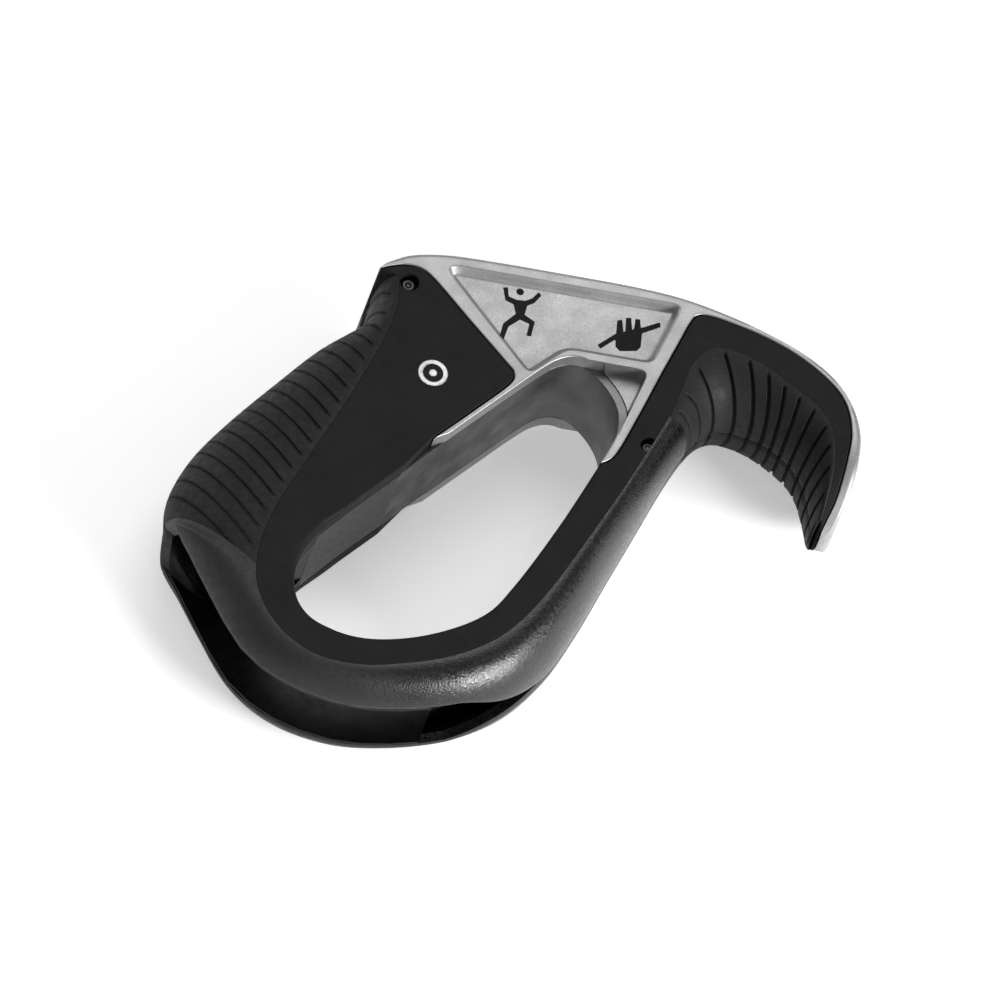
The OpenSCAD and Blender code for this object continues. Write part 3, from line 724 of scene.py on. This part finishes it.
def cover(name, side, stations, steps, rings, wall, slot, dent=None, sharp=50):
    """Rounded cover from the plateau down to the rim, with an optional dent function that also
    gives the painted shade of its grooves.
    """
    rows = curve(FLANK, steps)[stations[0] * steps:stations[1] * steps + 1]
    places = np.linspace(stations[0], stations[1], len(rows))
    rings_out, shade = [], []
    inner = 8
    for f, place in zip(rows, places):
        c, r = f[:2], f[2:4]
        w = np.linalg.norm(r - c)
        out = (r - c) / w
        foot = CHEEK_H * min(max(f[4], 0), 1) + FIT
        top = H * float(tip_factor(f[0], f[1]))
        rise = top - foot
        t = min(wall, 0.4 * w, 0.4 * rise)
        lip = min(0.35, 0.15 * w, 0.2 * rise)
        # Along the mouth the rounded flank ends at the foot before it stands upright.
        cut = 0.75 * smooth((place - MOUTH[0] - 1) / 3) * smooth((MOUTH[1] - place) / 3)
        base = foot - cut * (foot - FIT)
        last = math.acos((foot - base) / (top - base))
        reach = (w - FIT) / math.sin(last)
        ring, dark = [], []
        for i in range(rings + 1):
            a = last * i / rings
            u = FIT + reach * math.sin(a)
            z = base + (top - base) * math.cos(a)
            to_rim = (w - FIT) * math.pi / 2 * (1 - i / rings)
            to_crease = (w - FIT) * math.pi / 2 * i / rings
            z -= 0.015 * (1 - smooth(to_crease / 0.2))
            if to_rim < lip * 1.6:
                u -= lip * (1 - math.sqrt(1 - (1 - to_rim / (lip * 1.6)) ** 2))
            # shade_here is the painted shade that darkens the groove at this point.
            depth, shade_here = (0, 0)
            if dent is not None:
                x, y = c + u * out
                depth, shade_here = dent(x, y, to_crease, to_rim)
            u -= depth * math.sin(a) * min(1, t / 0.8)
            z -= depth * math.cos(a) * min(1, t / 0.8)
            ring.append((*(c + u * out), z))
            dark.append(shade_here)
        back = []
        for i in range(inner, -1, -1):
            a = math.radians(90 * i / inner)
            u = FIT + max(0.05, w - FIT - t) * math.sin(a)
            back.append((*(c + u * out), foot + (rise - t) * math.cos(a)))
        rings_out.append(ring + back)
        shade.append(dark + [0] * len(back))
    n = len(rings_out[0])
    m = len(rings_out)
    points = [q for r in rings_out for q in r]
    faces = [tuple(range(n)), tuple((m - 1) * n + i for i in reversed(range(n)))]
    for j in range(m - 1):
        for i in range(n):
            k = (i + 1) % n
            faces.append((j * n + i, (j + 1) * n + i, (j + 1) * n + k, j * n + k))
    add_piece(name, points, faces, slot, node=name, side=side,
              groove_shade=[g for s in shade for g in s], sharp=sharp)


GROOVE_ACROSS = (0.78, 0.62)
GROOVE_PITCH = 2.77
GROOVE_FIRST = 5.8
GROOVE_LAST = 19     # number of the last groove, counted from 0


def finger_dent(x, y, to_crease, to_rim):
    """Parallel grooves: a narrow one and a shallow step just below it; also how much painted shade
    darkens them.
    """
    s = GROOVE_FIRST - (GROOVE_ACROSS[0] * x + GROOVE_ACROSS[1] * y)
    k = round(s / GROOVE_PITCH)
    if k < 0 or k > GROOVE_LAST:
        return 0, 0
    d = s - k * GROOVE_PITCH
    start = smooth((to_crease - 1.2) / 0.25)
    main = max(0.0, 1 - abs(d) / 0.17)
    step = max(0.0, 1 - abs(d - 0.45) / 0.2)
    return start * (0.42 * main ** 0.7 + 0.12 * step), start * (main + 0.25 * step)


THUMB_POINTS = np.array(THUMB_GROOVES)
thumb_crease = curve(FLANK, 24)


def groove_stations():
    """Place along the flank where each groove of the thumb grip starts."""
    out = []
    for g in THUMB_POINTS:
        d = np.linalg.norm(thumb_crease[:, :2] * 0.8 + thumb_crease[:, 2:4] * 0.2 - g, axis=1)
        out.append(int(np.argmin(d[THUMB[0] * 24 - 30:])) + THUMB[0] * 24 - 30)
    return out


THUMB_LINES = [(thumb_crease[i, :2], thumb_crease[i, 2:4]) for i in groove_stations()]


def thumb_dent(x, y, to_crease, to_rim):
    """Grooves across the hook's inside, from the plateau to the middle plane; also how much painted
    shade darkens them.
    """
    start = smooth((to_crease - 1.0) / 0.3)
    best = 9.0
    for a, b in THUMB_LINES:
        e = b - a
        n = np.array([-e[1], e[0]]) / np.linalg.norm(e)
        d = abs((x - a[0]) * n[0] + (y - a[1]) * n[1])
        t = ((x - a[0]) * e[0] + (y - a[1]) * e[1]) / (e @ e)
        if -0.3 < t < 1.4:
            best = min(best, d)
    main = smooth(1 - (best - 0.12) / 0.24)
    return start * 0.5 * main, start * main * 0.8


# --- channel -----------------------------------------------------------------

def strip(name, slot, runs):
    """Strip of even thickness along an edge, with rounded corners: one closed sweep a run."""
    points, faces = [], []
    for edge, thick, half, r in runs:
        section = []
        for cx, cz, a0 in ((thick - r, half - r, 0), (r, half - r, 90), (r, -half + r, 180),
                           (thick - r, -half + r, 270)):
            for a in range(0, 91, 30):
                t = math.radians(a0 + a)
                section.append((cx + r * math.cos(t), cz + r * math.sin(t)))
        base, n = len(points), len(section)
        sides = [beside(edge, u) for u, _ in section]
        for j in range(len(edge)):
            points += [(*sides[i][j], section[i][1]) for i in range(n)]
        m = len(edge)
        faces += [tuple(base + i for i in range(n)),
                  tuple(base + (m - 1) * n + i for i in reversed(range(n)))]
        for j in range(m - 1):
            for i in range(n):
                k = (i + 1) % n
                faces.append((base + j * n + i, base + (j + 1) * n + i,
                              base + (j + 1) * n + k, base + j * n + k))
    add_piece(name, points, faces, slot, node=name)


def liner_half(name, side):
    stations = curve(FLANK, 2)
    opening = stations[:, 4]
    share = np.minimum.reduce([opening, np.append(opening[1:], 0), np.append(0, opening[:-1])])
    limit = np.where(share[:, None] < SLOT_OPEN, stations[:, :2], beside(stations[:, 2:4], 0.3))
    field = ccw(np.concatenate([limit, [(45, 60), (-60, 60)]]))
    hole = ccw(clean(np.concatenate([plate_edge, arm_edge, guide_edge])))

    def inside(xy):
        return within(channel, xy) & within(field, xy) & ~within(hole, xy)

    relief(name, [channel, field, hole, inset(hole, -0.2)], inside,
           lambda xy: np.full(len(xy), CHEEK_H - FIT), lambda xy: np.full(len(xy), SLOT_H),
           slot="gloss_black", node=name, side=side)


# --- rivets and markings -----------------------------------------------------

def turned(name, slot, at, profile, sides=48):
    """Solid of revolution about the Z axis at a place, from (radius, height) pairs."""
    points = [(at[0] + r * math.cos(2 * math.pi * k / sides),
               at[1] + r * math.sin(2 * math.pi * k / sides), z)
              for r, z in profile for k in range(sides)]
    last = (len(profile) - 1) * sides
    faces = [tuple(range(sides)), tuple(last + k for k in reversed(range(sides)))]
    for j in range(len(profile) - 1):
        for k in range(sides):
            k1 = (k + 1) % sides
            faces.append((j * sides + k, (j + 1) * sides + k, (j + 1) * sides + k1, j * sides + k1))
    add_piece(name, points, faces, slot, node=name, sharp=40)


def rivet(name, at, d):
    """Rivet with a domed and dimpled head at each end."""
    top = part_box(name)[1][2] / MM - H
    r = d / 2
    head = [(0.05 * r, top - 0.28), (0.3 * r, top - 0.24), (0.45 * r, top - 0.06),
            (0.6 * r, top), (0.82 * r, top - 0.05), (0.95 * r, top - 0.18), (r, top - 0.36)]
    turned(name, "rivet_steel", at, head + [(q, -z) for q, z in reversed(head)])


def bush(name, at, d):
    """Spacer tube with broken edges."""
    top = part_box(name)[1][2] / MM - H
    inner, outer = d / 2 + FIT, d / 2 + BUSH_WALL
    ring = [(inner, -top + 0.15), (inner, top - 0.15), (inner + 0.15, top), (outer - 0.15, top),
            (outer, top - 0.15), (outer, -top + 0.15), (outer - 0.15, -top), (inner + 0.15, -top)]
    sides = 48
    n = len(ring)
    points = [(at[0] + q * math.cos(2 * math.pi * k / sides),
               at[1] + q * math.sin(2 * math.pi * k / sides), z)
              for k in range(sides) for q, z in ring]
    faces = [(k * n + i, (k + 1) % sides * n + i, (k + 1) % sides * n + (i + 1) % n,
              k * n + (i + 1) % n) for k in range(sides) for i in range(n)]
    add_piece(name, points, faces, "rivet_steel", node=name, sharp=40)


def inlay(name, loops, top, slot, inside):
    """Paint that fills a recess, slightly below the face round it."""
    fine = [q for loop in loops for q in (loop, inset(loop, 0.12))]

    def upper(xy):
        d = np.min([distance(loop, xy)[0] for loop in loops], axis=0)
        return top - 0.12 + 0.05 * smooth(d / 0.12)

    relief(name, fine, inside, upper, lambda xy: np.full(len(xy), top - 0.3), slot=slot, node=name)


def any_of(loops):
    return lambda xy: np.any([within(loop, xy) for loop in loops], axis=0)


def build():
    for part, side in (("front", 1), ("back", -1)):
        frame_half(f"frame_{part}", side, CLIMBER_LOOPS + HAND_LOOPS if side > 0 else [])
        shell_half(f"shell_{part}", side, side > 0)
        liner_half(f"channel_liner_{part}", side)
        cover(f"ring_cover_{part}", side, RING, 8, 20, COVER_WALL, "textured_black")
        cover(f"finger_grip_{part}", side, FINGER, 84, 28, FINGER_WALL, "grip_rubber",
              finger_dent)
        cover(f"thumb_grip_{part}", side, THUMB, 48, 24, COVER_WALL, "grip_rubber", thumb_dent)
    strip("wear_plate", "steel_plate", [(plate_edge, PLATE_T, PLATE_H - FIT, 0.18)])
    strip("rope_guide", "gloss_black", [(guide_edge, GUIDE_T, PLATE_H - FIT, 0.3),
                                        (exit_edge[::-1], GUIDE_T, CHEEK_H - FIT, 0.3)])
    rivet("top_rivet", TOP_RIVET, TOP_RIVET_D)
    rivet("arm_rivet", ARM_RIVET, ARM_RIVET_D)
    bush("top_bush", TOP_RIVET, TOP_RIVET_D)
    bush("arm_bush", ARM_RIVET, ARM_RIVET_D)
    inlay("climber_icon", CLIMBER_LOOPS, FLOOR_H, "icon_fill", any_of(CLIMBER_LOOPS))
    inlay("brake_hand_icon", HAND_LOOPS, FLOOR_H, "icon_fill", any_of(HAND_LOOPS))

    def in_mark(xy):
        d = np.linalg.norm(xy - np.array(MARK_AT), axis=1)
        outer, inner, dot = MARK_RADII
        return ((d < outer) & (d > inner)) | (d < dot)

    inlay("grip_mark", MARK, H, "mark_white", in_mark)
    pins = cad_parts["locating_pins"]
    pins.data.materials.clear()
    pins.data.materials.append(MATERIALS["rivet_steel"])


build()


# --- floor, light and camera -------------------------------------------------

def floor():
    """Pale matt sheet that the device lies on."""
    bm = bmesh.new()
    bmesh.ops.create_grid(bm, x_segments=8, y_segments=8, size=1.5)
    mesh = bpy.data.meshes.new("floor")
    bm.to_mesh(mesh)
    bm.free()
    m = Nodes("floor_pale")
    colour = m.ramp(m.noise(40, 2), 0.88, 0.92, 0.3, 0.7)
    m.shader.inputs["Emission Color"].default_value = (1, 1, 1, 1)
    m.shader.inputs["Emission Strength"].default_value = 0.42
    m.finish(colour, m.ramp(m.noise(20, 2), 0.75, 0.85), m.bump(m.noise(30, 2), 0.02, 0.02))
    mesh.materials.append(m.material)
    sheet = bpy.data.objects.new("floor", mesh)
    sheet.location.z = -0.0002
    bpy.context.scene.collection.objects.link(sheet)


def area_light(name, place, aim, size, power):
    data = bpy.data.lights.new(name, "AREA")
    data.shape = "RECTANGLE"
    data.size, data.size_y = size
    data.energy = power
    lamp = bpy.data.objects.new(name, data)
    lamp.location = place
    lamp.rotation_euler = (Vector(aim) - Vector(place)).to_track_quat("-Z", "Y").to_euler()
    bpy.context.scene.collection.objects.link(lamp)


def lights():
    world = bpy.context.scene.world or bpy.data.worlds.new("world")
    bpy.context.scene.world = world
    world.use_nodes = True
    background = world.node_tree.nodes["Background"]
    background.inputs["Color"].default_value = (1, 1, 1, 1)
    background.inputs["Strength"].default_value = 0.3
    area_light("key", (0.1, 0.62, 0.95), (0, 0.02, 0), (0.9, 0.6), 4.5)
    area_light("low_right", (0.5, -0.32, 0.22), (0.02, -0.01, 0.01), (0.3, 0.15), 6.0)
    area_light("back_left", (-0.6, 0.5, 0.3), (-0.02, 0, 0.01), (0.3, 0.3), 1.5)


def camera():
    """Long lens from in front and above, turned about its own axis."""
    right = Vector((0.9774, 0.0794, 0.1959))
    up = Vector((-0.1681, 0.8540, 0.4924))
    towards = right.cross(up).normalized()
    up = towards.cross(right).normalized()
    away = 6
    look_at = Vector((-0.0011, 0.0046, 0.0115))
    data = bpy.data.cameras.new("camera")
    data.sensor_width = 36
    data.lens = 36 * away / 0.1639
    data.clip_end = 20
    cam = bpy.data.objects.new("camera", data)
    turn = Matrix((right.normalized(), up, towards)).transposed().to_4x4()
    cam.matrix_world = Matrix.Translation(look_at + towards * away) @ turn
    bpy.context.scene.collection.objects.link(cam)
    bpy.context.scene.camera = cam


floor()
lights()
camera()
bpy.context.scene.view_settings.view_transform = "Standard"
